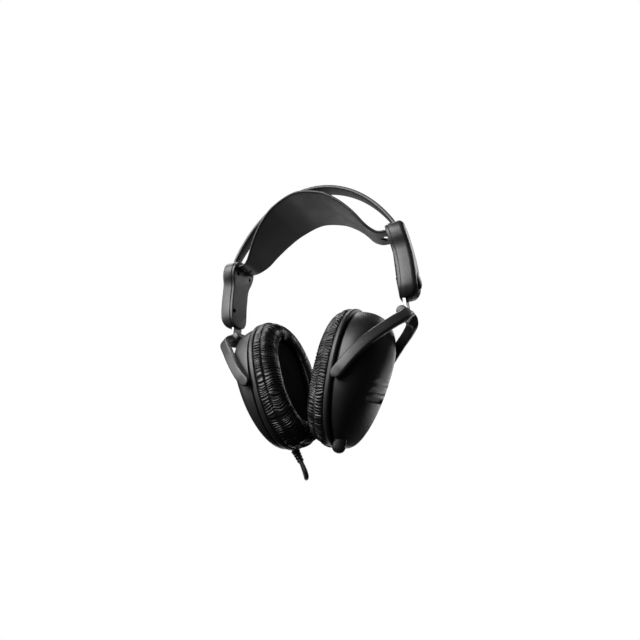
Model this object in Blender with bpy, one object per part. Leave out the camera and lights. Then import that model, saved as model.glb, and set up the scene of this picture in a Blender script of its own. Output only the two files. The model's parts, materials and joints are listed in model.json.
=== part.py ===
# Over-ear headphones with a spring bow, a suspended head strap and tilting cups.
# Units in this file are millimetres; MM turns them into Blender's metres.
# Frame: X to the wearer's side seen on the right, front is -Y, Z up,
# origin at the middle of the head strap's underside.

import math

import bmesh
import bpy
from mathutils import Matrix, Vector

MM = 0.001
GAP = 0.3

# Driving dimensions: cups
CUP_HEIGHT = 112.0
CUP_WIDTH = 90.0
CUP_TILT = math.radians(13.0)
CUP_ASIDE, CUP_DROP = 29.1, 46.3
OVAL_POWER = 2.25
RIM_BACK, RIM_FRONT = 2.2, -5.3
RIM_BAND = 6.5
SHELL_BASE = 2.5
SHELL_INSET = 2.0
GROOVE_WIDTH, GROOVE_DEPTH = 2.0, 2.6
SHELL_DEPTH = 26.7
SHELL_RAKE = 0.206
DOME_POWER = 2.6
SHELL_WALL = 2.8
CAVITY_RISE = 7.0
CUSHION_BACK, CUSHION_FRONT = RIM_FRONT - GAP, -18.0
CUSHION_ROLL = 19.5

# Driving dimensions: bow, strap, housings and sliders
BOW_HALF_SPAN, BOW_DROP, BOW_TOP = 96.2, 145.3, 22.2
BOW_WIDTH, BOW_THICK = 14.0, 3.2
BOW_END_ANGLE = math.radians(60.0)
BOW_SEAT, BOW_ASIDE = 12.0, 7.0
STRAP_THICK, STRAP_RISE, STRAP_SEAT = 2.4, 1.5, 7.0
STRAP_WIDTH, STRAP_END_WIDTH, STRAP_PRONG = 63.0, 24.0, 7.8
HOUSING_FLARE = math.radians(3.6)
HOUSING_LENGTH = 67.0
HOUSING_WIDTH, HOUSING_WAIST = 33.6, 24.8
HOUSING_DEPTH = 13.4
COVER_THICK = 2.5
STRIP_X, STRIP_THICK, STRIP_WIDTH = 1.4, 2.0, 12.0
STRIP_HOLD, STRIP_REACH = 20.0, 10.0
SLIDE_RANGE = 30.0
SCREW_ROWS = (13.0, HOUSING_LENGTH - 16.0)
SCREW_SPREAD = 9.4
SCREW_RADIUS, SCREW_SHANK = 1.7, 0.9
CAP_RADIUS, CAP_PLACE = 7.0, 14.0

# Driving dimensions: yokes, microphone, cord
PIVOT_OUT, PIVOT_CLEAR = 9.2, 1.2
PIN_RADIUS, PIN_LENGTH, PIN_PROUD = 2.0, 9.5, 1.3
KNUCKLE_RADIUS, KNUCKLE_WIDTH = 4.29, 14.6
ARM_HEIGHT, ARM_WIDTH = 8.6, 5.4
MIC_P, MIC_Q = 9.3, -20.0
MIC_RADIUS, BOOM_RADIUS = 5.0, 1.6
MIC_RANGE, MIC_LENGTH, MIC_SLEEVE = CUP_HEIGHT - 57.0, 17.2, 17.6
CORD = 3.5
RELIEF_START = (8.6, 6.0, -48.0)
RELIEF_LEAN = -0.287
RELIEF_LENGTH, RELIEF_SHANK = 18.5, 3.0

SIDES = {"left": -1, "right": 1}


# Scene housekeeping

def clear_scene():
    for item in list(bpy.data.objects):
        bpy.data.objects.remove(item, do_unlink=True)


def collection(name):
    group = bpy.data.collections.new(name)
    bpy.context.scene.collection.children.link(group)
    return group


def material(name, grey, roughness, metallic=0.0):
    mat = bpy.data.materials.new(name)
    mat.use_nodes = True
    shader = mat.node_tree.nodes["Principled BSDF"]
    shader.inputs["Base Color"].default_value = (grey, grey, grey * 1.02, 1.0)
    shader.inputs["Roughness"].default_value = roughness
    shader.inputs["Metallic"].default_value = metallic
    mat.diffuse_color = (grey, grey, grey, 1.0)
    return mat


clear_scene()
PARTS = collection("over_ear_headphones")
CUTTERS = collection("cutters")
LOOKS = {
    "plastic": (0.028, 0.38, 0.0),
    "plastic_dark": (0.018, 0.45, 0.0),
    "leather": (0.012, 0.42, 0.0),
    "cloth": (0.008, 0.95, 0.0),
    "steel": (0.62, 0.25, 1.0),
    "screw": (0.05, 0.4, 1.0),
    "rubber": (0.02, 0.6, 0.0),
    "film": (0.05, 0.3, 0.0),
    "gold": (0.55, 0.25, 1.0),
}


def add_object(name, mesh, look, parent=None, group=None):
    item = bpy.data.objects.new(name, mesh)
    (group or PARTS).objects.link(item)
    grey, roughness, metallic = LOOKS[look]
    mesh.materials.clear()
    mesh.materials.append(material(name, grey, roughness, metallic))
    if parent is not None:
        item.parent = parent
        item.matrix_parent_inverse = parent.matrix_world.inverted()
    return item


def axis_empty(name, place, parent=None):
    empty = bpy.data.objects.new(name, None)
    empty.empty_display_size = 0.01
    PARTS.objects.link(empty)
    if parent is not None:
        empty.parent = parent
        empty.matrix_parent_inverse = parent.matrix_world.inverted()
    empty.location = Vector(place) * MM
    if parent is not None:
        empty.location = parent.matrix_world.inverted() @ (Vector(place) * MM)
        empty.matrix_parent_inverse = Matrix()
    bpy.context.view_layer.update()
    return empty


# Mesh builders

def loft(name, rings, around=False):
    """Skins rings of points; a ring of one point is a pole, around joins last to first."""
    bm = bmesh.new()
    loops = [[bm.verts.new(Vector(point) * MM) for point in ring] for ring in rings]
    pairs = list(zip(loops, loops[1:]))
    if around:
        pairs.append((loops[-1], loops[0]))
    for first, second in pairs:
        count = max(len(first), len(second))
        for i in range(count):
            j = (i + 1) % count
            if len(first) == 1:
                bm.faces.new((first[0], second[j], second[i]))
            elif len(second) == 1:
                bm.faces.new((first[i], first[j], second[0]))
            else:
                bm.faces.new((first[i], first[j], second[j], second[i]))
    if not around:
        for loop in (loops[0], loops[-1]):
            if len(loop) > 2:
                bm.faces.new(loop)
    bmesh.ops.recalc_face_normals(bm, faces=bm.faces)
    mesh = bpy.data.meshes.new(name)
    bm.to_mesh(mesh)
    bm.free()
    for face in mesh.polygons:
        face.use_smooth = len(face.vertices) <= 4
    return mesh


def cut(item, cutter_mesh, operation="DIFFERENCE"):
    """Applies one boolean with a hidden cutter kept in its own collection."""
    cutter = bpy.data.objects.new(item.name + "_cutter", cutter_mesh)
    CUTTERS.objects.link(cutter)
    cutter.hide_render = True
    cutter.display_type = "WIRE"
    step = item.modifiers.new(cutter.name, "BOOLEAN")
    step.operation = operation
    step.solver = "EXACT"
    step.object = cutter
    return step


def join(name, meshes):
    """One cutter mesh out of several separate solids."""
    bm = bmesh.new()
    for mesh in meshes:
        bm.from_mesh(mesh)
    out = bpy.data.meshes.new(name)
    bm.to_mesh(out)
    bm.free()
    return out


def circle(centre, along, radius, count=20, start=None):
    along = Vector(along).normalized()
    side = Vector(start) if start else along.orthogonal()
    side = (side - along * side.dot(along)).normalized()
    other = along.cross(side)
    ring = []
    for i in range(count):
        a = 2.0 * math.pi * i / count
        ring.append(Vector(centre) + side * (radius * math.cos(a)) + other * (radius * math.sin(a)))
    return ring


def revolve(name, origin, along, profile, count=20):
    """Profile of (radius, distance along); a radius of 0 closes on the axis."""
    along = Vector(along).normalized()
    rings = []
    for radius, distance in profile:
        centre = Vector(origin) + along * distance
        rings.append([centre] if radius == 0 else circle(centre, along, radius, count))
    return loft(name, rings)


def rod(name, start, end, radius, count=16):
    return loft(name, [circle(start, Vector(end) - Vector(start), radius, count),
                       circle(end, Vector(end) - Vector(start), radius, count)])


def block(name, corners):
    """A box from eight points: four of one face, then the matching four."""
    return loft(name, [corners[:4], corners[4:]])


def smooth_points(points, steps):
    """Catmull-Rom curve through points of any dimension."""
    pts = [Vector(p) for p in points]
    pts = [pts[0] * 2 - pts[1]] + pts + [pts[-1] * 2 - pts[-2]]
    out = []
    for k in range(1, len(pts) - 2):
        p0, p1, p2, p3 = pts[k - 1:k + 3]
        for i in range(steps):
            t = i / steps
            out.append(0.5 * (2 * p1 + (p2 - p0) * t + (2 * p0 - 5 * p1 + 4 * p2 - p3) * t * t
                              + (3 * p1 - p0 - 3 * p2 + p3) * t ** 3))
    out.append(pts[-2].copy())
    return out


def inset(outline, distance):
    """Moves a closed 2-D outline inwards along its own normals."""
    count = len(outline)
    area = sum(outline[i].x * outline[(i + 1) % count].y - outline[(i + 1) % count].x * outline[i].y
               for i in range(count))
    turn = 1.0 if area > 0 else -1.0
    out = []
    for i, point in enumerate(outline):
        along = (outline[(i + 1) % count] - outline[i - 1]).normalized()
        out.append(point + Vector((-along.y, along.x)) * (distance * turn))
    return out


def soft_rectangle(width, height, corner, turns=1):
    """Closed outline of a rectangle with rounded corners."""
    out = []
    for k, (sx, sy) in enumerate(((1, 1), (-1, 1), (-1, -1), (1, -1))):
        centre = Vector((sx * (width / 2 - corner), sy * (height / 2 - corner)))
        for i in range(turns + 1):
            a = math.pi / 2 * (k + i / turns)
            out.append(centre + Vector((math.cos(a), math.sin(a))) * corner)
    return out


# Local frames

CUP_OUT = Vector((math.cos(CUP_TILT), 0.0, -math.sin(CUP_TILT)))
CUP_UP = Vector((math.sin(CUP_TILT), 0.0, math.cos(CUP_TILT)))
HOUSE_DOWN = Vector((math.sin(HOUSING_FLARE), 0.0, -math.cos(HOUSING_FLARE)))
HOUSE_OUT = Vector((math.cos(HOUSING_FLARE), 0.0, math.sin(HOUSING_FLARE)))
HOUSING_TOP = Vector((BOW_HALF_SPAN * math.sin(BOW_END_ANGLE) - BOW_ASIDE, 0.0,
                      BOW_TOP - BOW_DROP * (1.0 - math.cos(BOW_END_ANGLE)) + BOW_SEAT))
STRIP_TOP = HOUSING_LENGTH - SLIDE_RANGE - STRIP_HOLD
STRIP_END = HOUSING_LENGTH + STRIP_REACH
SLIDER_END = HOUSING_TOP + HOUSE_OUT * STRIP_X + HOUSE_DOWN * STRIP_END
CUP_CENTRE = Vector((CUP_ASIDE, 0.0, SLIDER_END.z - CUP_DROP))
PIVOT = (PIVOT_OUT, CUP_WIDTH / 2 + PIVOT_CLEAR, 0.0)


def mirror(side, vector):
    return Vector((side * vector.x, vector.y, vector.z))


def cup(side, p, q, s):
    """p out of the rim plane, q to the rear, s up the cup."""
    return mirror(side, CUP_CENTRE + CUP_OUT * p + CUP_UP * s + Vector((0.0, q, 0.0)))


def house(side, x, y, down):
    """x out of the seam between shell and cover, down along the slider."""
    return mirror(side, HOUSING_TOP + HOUSE_OUT * x + HOUSE_DOWN * down + Vector((0.0, y, 0.0)))


def oval(half_width, half_height, count, rise=0.0):
    out = []
    for i in range(count):
        a = 2.0 * math.pi * i / count
        c, d = math.cos(a), math.sin(a)
        q = half_width * math.copysign(abs(c) ** (2 / OVAL_POWER), c)
        s = half_height * math.copysign(abs(d) ** (2 / OVAL_POWER), d)
        out.append((q, s + rise))
    return out


# Bow

def bow_section(angle, width, thick):
    centre = Vector((BOW_HALF_SPAN * math.sin(angle), 0.0,
                     BOW_TOP - BOW_DROP * (1.0 - math.cos(angle))))
    along = Vector((BOW_HALF_SPAN * math.cos(angle), 0.0, -BOW_DROP * math.sin(angle))).normalized()
    up = Vector((-along.z, 0.0, along.x))
    return [centre + Vector((0.0, corner.x, 0.0)) + up * corner.y
            for corner in soft_rectangle(width, thick, thick * 0.45)]


def bow_sweep(name, side, first, last, steps, extra=0.0, width=BOW_WIDTH, thick=BOW_THICK):
    rings = []
    for i in range(steps + 1):
        angle = first + (last - first) * i / steps
        rings.append([mirror(side, p) for p in bow_section(angle, width + extra, thick + extra)])
    return loft(name, rings)


def build_bow():
    seam = 0.45 / BOW_HALF_SPAN
    tongue = 11.0 / BOW_HALF_SPAN
    for label, side in SIDES.items():
        half = add_object(f"bow_{label}", bow_sweep(f"bow_{label}", side, seam, BOW_END_ANGLE, 20), "plastic")
        cut(half, bow_sweep("bow_pocket", side, -0.01, tongue + 0.006, 5, 0.0, 7.6, 1.6))
    rings = []
    for i in range(9):
        angle = -tongue + 2.0 * tongue * i / 8
        rings.append(bow_section(angle, 7.0, 1.0))
    add_object("bow_joiner", loft("bow_joiner", rings), "steel")


# Head strap

def strap_end():
    """Height of the strap's underside where it enters the housings."""
    return HOUSING_TOP.z - STRAP_SEAT


def strap_line():
    """Underside from left to right as (x, z, share of the extra half width)."""
    reach = HOUSING_TOP.x - GAP * 3
    sag = STRAP_RISE - strap_end()
    shares = [(0.0, 0.0, 1.0), (0.301, 0.130, 0.94), (0.492, 0.340, 0.78), (0.634, 0.577, 0.56),
              (0.737, 0.805, 0.32), (0.809, 0.920, 0.14), (0.882, 0.985, 0.03), (1.0, 1.0, 0.0)]
    keys = [(reach * a, STRAP_RISE - sag * b, c) for a, b, c in shares]
    left = [(-x, z, share) for x, z, share in reversed(keys[1:])]
    return smooth_points(left + keys, 2)


def build_strap():
    full = strap_line()
    rings = []
    for i, point in enumerate(full):
        before, after = full[max(i - 1, 0)], full[min(i + 1, len(full) - 1)]
        along = Vector((after.x - before.x, after.y - before.y)).normalized()
        up = Vector((-along.y, along.x))
        half = STRAP_END_WIDTH / 2 + (STRAP_WIDTH - STRAP_END_WIDTH) / 2 * point.z
        ring = []
        for corner in soft_rectangle(2 * half, STRAP_THICK, STRAP_THICK * 0.45):
            rise = corner.y + STRAP_THICK / 2
            ring.append((point.x + up.x * rise, corner.x, point.y + up.y * rise))
        rings.append(ring)
    strap = add_object("head_strap", loft("head_strap", rings), "leather")
    slots = []
    for side in SIDES.values():
        wide = STRAP_END_WIDTH / 2 - STRAP_PRONG
        far = HOUSING_TOP.x - 5.0
        outline = smooth_points([(far - 13.0, 0.0), (far - 10.4, wide * 0.8), (far - 5.5, wide),
                                 (far - 1.5, wide * 0.75), (far, 0.0)], 3)
        outline += [Vector((p.x, -p.y)) for p in reversed(outline[1:-1])]
        slots.append(loft("slot", [[(side * p.x, p.y, strap_end() + rise) for p in outline]
                                   for rise in (-20.0, 20.0)]))
    cut(strap, join("strap_slots", slots))


# Housings and sliders

def housing_outline():
    wide, waist = HOUSING_WIDTH / 2, HOUSING_WAIST / 2
    low = HOUSING_LENGTH
    keys = [(0.0, 0.0), (wide - 7.8, 0.3), (wide - 2.2, 3.6), (wide, 9.5), (wide - 0.9, 16.5),
            (waist + 0.8, 23.5), (waist, 32.0), (waist, low - 14.0), (waist - 1.4, low - 6.0),
            (waist - 5.6, low - 1.0), (0.0, low)]
    half = smooth_points(keys, 2)
    return half + [Vector((-p.x, p.y)) for p in reversed(half[1:-1])]


def housing_layers(name, side, layers):
    outline = housing_outline()
    rings = []
    for x, shrink in layers:
        rings.append([house(side, x, p.x, p.y) for p in inset(outline, shrink)])
    return loft(name, rings)


def house_box(name, side, x, y, down):
    corners = []
    for d in down:
        corners += [house(side, x[i], y[j], d) for i, j in ((0, 0), (1, 0), (1, 1), (0, 1))]
    return block(name, corners)


def screw_places():
    return [(sign * SCREW_SPREAD, row) for row in SCREW_ROWS for sign in (-1, 1)]


def build_housing(label, side):
    shell = add_object(f"{label}_housing", housing_layers(
        f"{label}_housing", side,
        [(0.0, 0.5), (0.6, 0.0), (HOUSING_DEPTH - 4.4, 0.0), (HOUSING_DEPTH - 2.1, 0.7),
         (HOUSING_DEPTH - 0.6, 2.3), (HOUSING_DEPTH, 5.0)]), "plastic")
    channel = house_box("channel", side, (-1.0, STRIP_X + STRIP_THICK / 2 + GAP),
                        (-STRIP_WIDTH / 2 - GAP, STRIP_WIDTH / 2 + GAP), (STRIP_TOP - 2.0, HOUSING_LENGTH + 4))
    pocket = bow_sweep("pocket", side, BOW_END_ANGLE - 0.20, BOW_END_ANGLE + 0.01, 4, 2 * GAP)
    bores = [rod("bore", house(side, -1.0, y, d), house(side, 6.4, y, d), SCREW_SHANK + GAP, 10)
             for y, d in screw_places()]
    cap_down = HOUSING_LENGTH - CAP_PLACE
    seat = revolve("seat", house(side, HOUSING_DEPTH - 2.9, 0.0, cap_down), mirror(side, HOUSE_OUT),
                   [(CAP_RADIUS + GAP, 0.0), (CAP_RADIUS + GAP, 9.0)], 24)
    cut(shell, join("housing_cuts", [channel, pocket, seat] + bores))

    cover = add_object(f"{label}_housing_cover", housing_layers(
        f"{label}_housing_cover", side, [(-GAP, 0.6), (-2.1, 0.6), (-COVER_THICK - GAP, 1.4)]), "plastic_dark")
    holes = [rod("hole", house(side, 1.0, y, d), house(side, -COVER_THICK - 2.0, y, d), SCREW_RADIUS + GAP, 14)
             for y, d in screw_places()]
    end = STRAP_END_WIDTH / 2 + GAP
    near, far = HOUSING_TOP.x - 9.0, HOUSING_TOP.x + 9.0
    slot = block("slot", [Vector((side * x, y, z))
                          for z in (strap_end() - 2 * GAP, strap_end() + STRAP_THICK + 2 * GAP)
                          for x, y in ((near, -end), (far, -end), (far, end), (near, end))])
    cut(cover, join("cover_cuts", holes + [slot]))

    for number, (y, d) in enumerate(screw_places(), 1):
        add_object(f"{label}_cover_screw_{number}", revolve(
            "screw", house(side, -2.5, y, d), mirror(side, HOUSE_OUT),
            [(0, 0.6), (SCREW_SHANK, 0.0), (SCREW_RADIUS, 0.0), (SCREW_RADIUS, 0.7), (SCREW_SHANK, 1.7),
             (SCREW_SHANK, 8.2), (0, 8.5)], 10),
            "screw")

    add_object(f"{label}_detent_cap", revolve(
        "cap", house(side, HOUSING_DEPTH - 2.9 + GAP, 0.0, cap_down), mirror(side, HOUSE_OUT),
        [(0, 0), (CAP_RADIUS, 0.0), (CAP_RADIUS, 2.4), (CAP_RADIUS - 0.4, 3.6), (CAP_RADIUS - 1.6, 4.5),
         (CAP_RADIUS - 3.8, 5.1), (0, 5.3)], 24), "plastic_dark")

    slide = axis_empty(f"{label}_slide_axis", house(side, STRIP_X, 0.0, HOUSING_LENGTH))
    strip = house_box("strip", side, (STRIP_X - STRIP_THICK / 2, STRIP_X + STRIP_THICK / 2),
                      (-STRIP_WIDTH / 2, STRIP_WIDTH / 2), (STRIP_TOP, STRIP_END))
    add_object(f"{label}_slider_strip", strip, "steel", slide)
    return slide


# Yokes

CROWN_OUT, CROWN_DROP = 0.8, 2.2
ARM_SHARES = [(0.0, 0.0, 0.0), (-0.034, 0.195, 0.030), (-0.017, 0.336, 0.095), (0.107, 0.498, 0.199),
              (0.318, 0.671, 0.360), (0.539, 0.836, 0.546), (0.749, 0.952, 0.749), (0.896, 0.996, 0.901)]


def pivot_point():
    return CUP_CENTRE + CUP_OUT * PIVOT[0] + CUP_UP * PIVOT[2] + Vector((0.0, PIVOT[1], 0.0))


def arm_line():
    """Middle line of the right yoke's rear arm, from the crown to just short of the pivot."""
    crown = SLIDER_END + Vector((CROWN_OUT, 0.0, -CROWN_DROP))
    way = pivot_point() - crown
    return [crown + Vector((way.x * a, way.y * b, way.z * c)) for a, b, c in ARM_SHARES]


def build_yoke(label, side, slide):
    pivot = pivot_point()
    half = smooth_points(arm_line() + [pivot], 2)
    line = [Vector((p.x, -p.y, p.z)) for p in reversed(half[1:])] + half
    reach = Vector((half[0].x - pivot.x, 0.0, half[0].z - pivot.z)).normalized()
    face = Vector((-reach.z, 0.0, reach.x))
    rings = []
    last = len(line) - 1
    for i, point in enumerate(line):
        along = (line[min(i + 1, last)] - line[max(i - 1, 0)]).normalized()
        across = face.cross(along).normalized()
        crown = math.exp(-(point.y / 13.0) ** 2)
        width = ARM_WIDTH + 5.0 * crown
        height = ARM_HEIGHT + 1.4 * crown
        rings.append([mirror(side, point + across * c.x + face * c.y)
                      for c in soft_rectangle(width, height, 1.7)])
    tips = []
    for end, inner in ((0, 1), (last, last - 1)):
        out = mirror(side, (line[end] - line[inner]).normalized())
        tip = []
        for point, turn in zip(rings[end], soft_rectangle(ARM_WIDTH, ARM_HEIGHT, 1.7)):
            bulge = math.sqrt(max(0.0, 1.0 - (turn.y / (ARM_HEIGHT / 2 + 0.4)) ** 2))
            tip.append(point + out * (bulge * ARM_HEIGHT * 0.48))
        tips.append(tip)
    rings = [tips[0]] + rings + [tips[1]]
    yoke = add_object(f"{label}_yoke", loft(f"{label}_yoke", rings), "plastic", slide)

    lobe = SLIDER_END + Vector((-3.54, 0.0, 0.99))
    knuckle = rod("knuckle", mirror(side, lobe + Vector((0.0, -KNUCKLE_WIDTH / 2 - 0.06, 0.0))),
                  mirror(side, lobe + Vector((0.0, KNUCKLE_WIDTH / 2 - 0.06, 0.0))), KNUCKLE_RADIUS, 26)
    cut(yoke, knuckle, "UNION")
    slot = house_box("slot", side, (STRIP_X - STRIP_THICK / 2 - GAP, STRIP_X + STRIP_THICK / 2 + GAP),
                     (-STRIP_WIDTH / 2 - GAP, STRIP_WIDTH / 2 + GAP), (STRIP_END - 14.0, STRIP_END + GAP))
    bores = []
    for sign in (-1, 1):
        place = mirror(side, Vector((pivot.x, sign * (pivot.y - 6.2), pivot.z)))
        depth = Vector((0.0, sign * (6.2 + PIN_PROUD + GAP), 0.0))
        bores.append(rod("bore", place, place + depth, PIN_RADIUS + GAP, 16))
    cut(yoke, slot)
    cut(yoke, join("yoke_bores", bores))

    for name, sign in (("front", -1), ("rear", 1)):
        place = mirror(side, Vector((pivot.x, sign * (pivot.y + PIN_PROUD - PIN_LENGTH), pivot.z)))
        add_object(f"{label}_{name}_pivot_pin", revolve("pin", place, (0, sign, 0), [
            (0, 0), (PIN_RADIUS - 0.4, 0.0), (PIN_RADIUS, 0.5), (PIN_RADIUS, PIN_LENGTH - 0.5),
            (PIN_RADIUS - 0.4, PIN_LENGTH), (0, PIN_LENGTH)], 12), "steel", slide)
    return axis_empty(f"{label}_tilt_axis", mirror(side, Vector((pivot.x, 0.0, pivot.z))), slide)


# Cups

def dome_ring(side, level, half_width, half_height, depth, rake, base, rise, count):
    """One ring of the raked dome; level runs from 0 at the rim to 1 at the crown."""
    scale = (1.0 - level ** DOME_POWER) ** (1.0 / DOME_POWER)
    return [cup(side, base + level * (depth + rake * s), q, s)
            for q, s in oval(half_width * scale, half_height * scale, count, rise)]


def build_shell(label, side, tilt):
    levels = (0.0, 0.24, 0.5, 0.7, 0.85, 0.94, 0.985)
    half_w, half_h = CUP_WIDTH / 2 - SHELL_INSET, CUP_HEIGHT / 2 - SHELL_INSET
    lip = SHELL_BASE + GROOVE_WIDTH
    outer = [dome_ring(side, level, half_w, half_h, SHELL_DEPTH, SHELL_RAKE, lip, 0.0, 32)
             for level in levels]
    neck = oval(half_w - GROOVE_DEPTH, half_h - GROOVE_DEPTH, 32)
    groove = [[cup(side, p, q, s) for q, s in neck] for p in (lip, SHELL_BASE)]
    in_w, in_h = half_w - GROOVE_DEPTH - 2.0, half_h - 11.0
    crown = lip + SHELL_DEPTH
    hollow = crown - SHELL_WALL - SHELL_BASE
    inner = [dome_ring(side, level, in_w, in_h, hollow, SHELL_RAKE, SHELL_BASE, CAVITY_RISE, 32)
             for level in levels[::2]]
    rings = [[cup(side, crown, 0.0, 0.0)]] + outer[::-1] + groove + inner
    rings.append([cup(side, crown - SHELL_WALL + SHELL_RAKE * CAVITY_RISE, 0.0, CAVITY_RISE)])
    shell = add_object(f"{label}_cup_shell", loft(f"{label}_cup_shell", rings), "plastic_dark", tilt)
    cuts = []
    for k in range(3):
        s = -0.5 - 7.0 * k
        corners = []
        for p, shift in ((20.0, 2.6), (44.0, -2.6)):
            corners += [cup(side, p, q, s + shift + t) for q, t in
                        ((-23.0, -0.9), (21.0, -0.9), (21.0, 0.9), (-23.0, 0.9))]
        cuts.append(block("louvre", corners))
    for sign in (-1, 1):
        cuts.append(rod("bore", cup(side, PIVOT[0], sign * (PIVOT[1] + PIN_PROUD - PIN_LENGTH - 4.0), PIVOT[2]),
                        cup(side, PIVOT[0], sign * (PIVOT[1] + 4.0), PIVOT[2]), PIN_RADIUS + GAP, 16))
    if side > 0:
        along = mirror(side, CUP_UP)
        floor = MIC_LENGTH + 1.0
        cuts.append(revolve("mic_recess", cup(side, MIC_P, MIC_Q, -CUP_HEIGHT / 2), along,
                            [(MIC_RADIUS + 0.5, -8.0), (MIC_RADIUS + 0.5, floor - 0.4),
                             (BOOM_RADIUS + 0.5, floor), (BOOM_RADIUS + 0.5, floor + MIC_SLEEVE)], 24))
    else:
        start, along = relief_axis()
        cuts.append(revolve("relief_hole", start - along * 14.0, along,
                            [(RELIEF_SHANK + GAP, 0.0), (RELIEF_SHANK + GAP, 30.0)], 20))
    cut(shell, join("shell_cuts", cuts))


def oval_ring(name, side, profile, count):
    """Sweeps a closed (inset from the rim's edge, p) profile around the cup's oval."""
    rings = []
    for i in range(count):
        ring = []
        for shrink, p in profile:
            q, s = oval(CUP_WIDTH / 2 - shrink, CUP_HEIGHT / 2 - shrink, count)[i]
            ring.append(cup(side, p, q, s))
        rings.append(ring)
    return loft(name, rings, around=True)


def cushion_profile():
    """Closed section: flat back, side wall, groove, crown roll, inner wall."""
    deep = CUSHION_BACK - CUSHION_FRONT
    wall = [(1.0, 0.0), (0.0, 0.10), (-0.6, 0.26), (-0.3, 0.42), (1.1, 0.52), (0.6, 0.62), (1.6, 0.80),
            (4.6, 0.94), (8.6, 1.0), (12.6, 0.98), (16.4, 0.88), (18.8, 0.70), (CUSHION_ROLL, 0.50),
            (18.7, 0.25), (17.6, 0.0)]
    return [(shrink, CUSHION_BACK - deep * t) for shrink, t in wall]


def build_cup(label, side, tilt):
    build_shell(label, side, tilt)
    add_object(f"{label}_cup_rim", oval_ring(f"{label}_cup_rim", side, [
        (1.8, RIM_FRONT), (1.3, RIM_FRONT + 2.6), (0.0, RIM_BACK - 2.6), (0.0, RIM_BACK - 1.0), (0.9, RIM_BACK),
        (RIM_BAND, RIM_BACK), (RIM_BAND, RIM_FRONT)], 36), "plastic", tilt)
    cushion = oval_ring(f"{label}_ear_cushion", side, cushion_profile(), 44)
    add_object(f"{label}_ear_cushion", cushion, "leather", tilt)

    middle = cup(side, RIM_FRONT + 1.5, 0.0, 2.0)
    out = mirror(side, CUP_OUT)
    edge = RIM_BAND + GAP
    plate = [(q, s) for q, s in oval(CUP_WIDTH / 2 - edge, CUP_HEIGHT / 2 - edge, 40)]
    baffle = add_object(f"{label}_baffle", loft("baffle", [[cup(side, p, q, s) for q, s in plate]
                                                          for p in (RIM_FRONT + GAP, RIM_FRONT + 2.1)]),
                        "plastic_dark", tilt)
    cut(baffle, revolve("driver_hole", middle, out, [(20.4, -4.0), (20.4, 4.0)], 24))
    add_object(f"{label}_driver", revolve("driver", middle, out, [
        (0, -0.6), (18.6, -0.6), (20.0, -0.4), (20.0, 0.9), (22.4, 0.9), (22.4, 2.0), (19.0, 2.4),
        (14.4, 6.2), (12.6, 6.4), (12.6, 10.6), (11.8, 11.2), (0, 11.2)], 20), "plastic_dark", tilt)
    add_object(f"{label}_diaphragm", revolve("diaphragm", middle, out, [
        (0, -2.1), (5.0, -1.9), (8.0, -1.3), (12.5, -1.7), (17.6, -1.2), (17.6, -0.9), (0, -0.9)],
        24), "film", tilt)
    edge = 17.6 + 0.5
    cloth = oval(CUP_WIDTH / 2 - edge - 0.8, CUP_HEIGHT / 2 - edge - 0.8, 40)
    add_object(f"{label}_ear_cloth", loft("cloth", [[cup(side, p, q, s) for q, s in cloth]
                                                    for p in (RIM_FRONT - 1.7, RIM_FRONT - 1.0)]), "cloth", tilt)


# Microphone on the right cup

def build_microphone(tilt):
    side = 1
    up = mirror(side, CUP_UP)
    foot = -CUP_HEIGHT / 2
    axis = axis_empty("microphone_slide_axis", cup(side, MIC_P, MIC_Q, foot + MIC_LENGTH), tilt)
    add_object("microphone_capsule", revolve("capsule", cup(side, MIC_P, MIC_Q, foot), up, [
        (0, 0.0), (MIC_RADIUS - 2.6, 0.5), (MIC_RADIUS - 0.9, 2.0), (MIC_RADIUS, 4.6),
        (MIC_RADIUS, MIC_LENGTH - 2.0), (MIC_RADIUS - 0.6, MIC_LENGTH - 0.6), (0, MIC_LENGTH)], 24),
        "plastic_dark", axis)
    bead = 1.0 + MIC_SLEEVE + MIC_RANGE + GAP
    add_object("microphone_boom", revolve("boom", cup(side, MIC_P, MIC_Q, foot + MIC_LENGTH), up, [
        (0, GAP), (BOOM_RADIUS, GAP), (BOOM_RADIUS, bead), (BOOM_RADIUS + 1.1, bead + 0.4),
        (BOOM_RADIUS + 1.1, bead + 2.6), (0, bead + 2.8)], 16), "rubber", axis)


# Cord, hank, tie and plug on the left cup

def relief_axis():
    side = -1
    along = mirror(side, CUP_OUT * RELIEF_LEAN - CUP_UP * math.sqrt(1.0 - RELIEF_LEAN ** 2))
    return cup(side, *RELIEF_START), along


HANK_RUN, HANK_FOLD, HANK_PITCH, HANK_LOOPS = 64.0, 7.0, 4.05, 6
PLUG_ROOM = 3.2
TIE_PLACE = 11.0


def hank_frame():
    """Along the left yoke's rear arm, then away from the arm, then across both."""
    arm = arm_line()
    along = mirror(-1, arm[4] - arm[6]).normalized()
    away = Vector((0.0, 1.0, 0.0))
    away = (away - along * away.dot(along)).normalized()
    across = along.cross(away)
    knot = mirror(-1, arm[5])
    return knot, along, away, across


def hank_point(a, b, n):
    knot, along, away, across = hank_frame()
    return knot + along * a + away * b + across * n


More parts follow.
